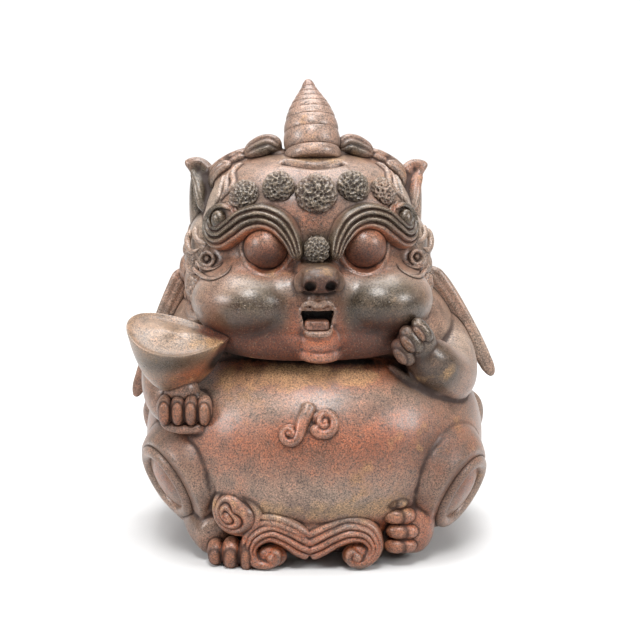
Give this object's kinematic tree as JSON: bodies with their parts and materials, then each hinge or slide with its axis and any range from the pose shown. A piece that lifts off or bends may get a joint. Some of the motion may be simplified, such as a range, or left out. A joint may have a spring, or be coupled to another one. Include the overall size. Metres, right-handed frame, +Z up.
{
  "type": "ceramic qilin figure",
  "caption": "Squat seated ceramic qilin with a ribbed horn, puffed cheeks and a round belly, holding an ingot, on a base of rolled clouds.",
  "frame": {"origin": "on the ground under the middle of the figure's box", "axes": "+Z up, the figure faces -Y and its left side is at +X"},
  "size_m": [0.1545, 0.1414, 0.1919],
  "materials": {
    "fired_clay": "satin wood-fired stoneware, pinkish brown with olive grey and orange flashing"
  },
  "bodies": {
    "root": {"qilin_figure": "fired_clay"}
  },
  "joints": []
}
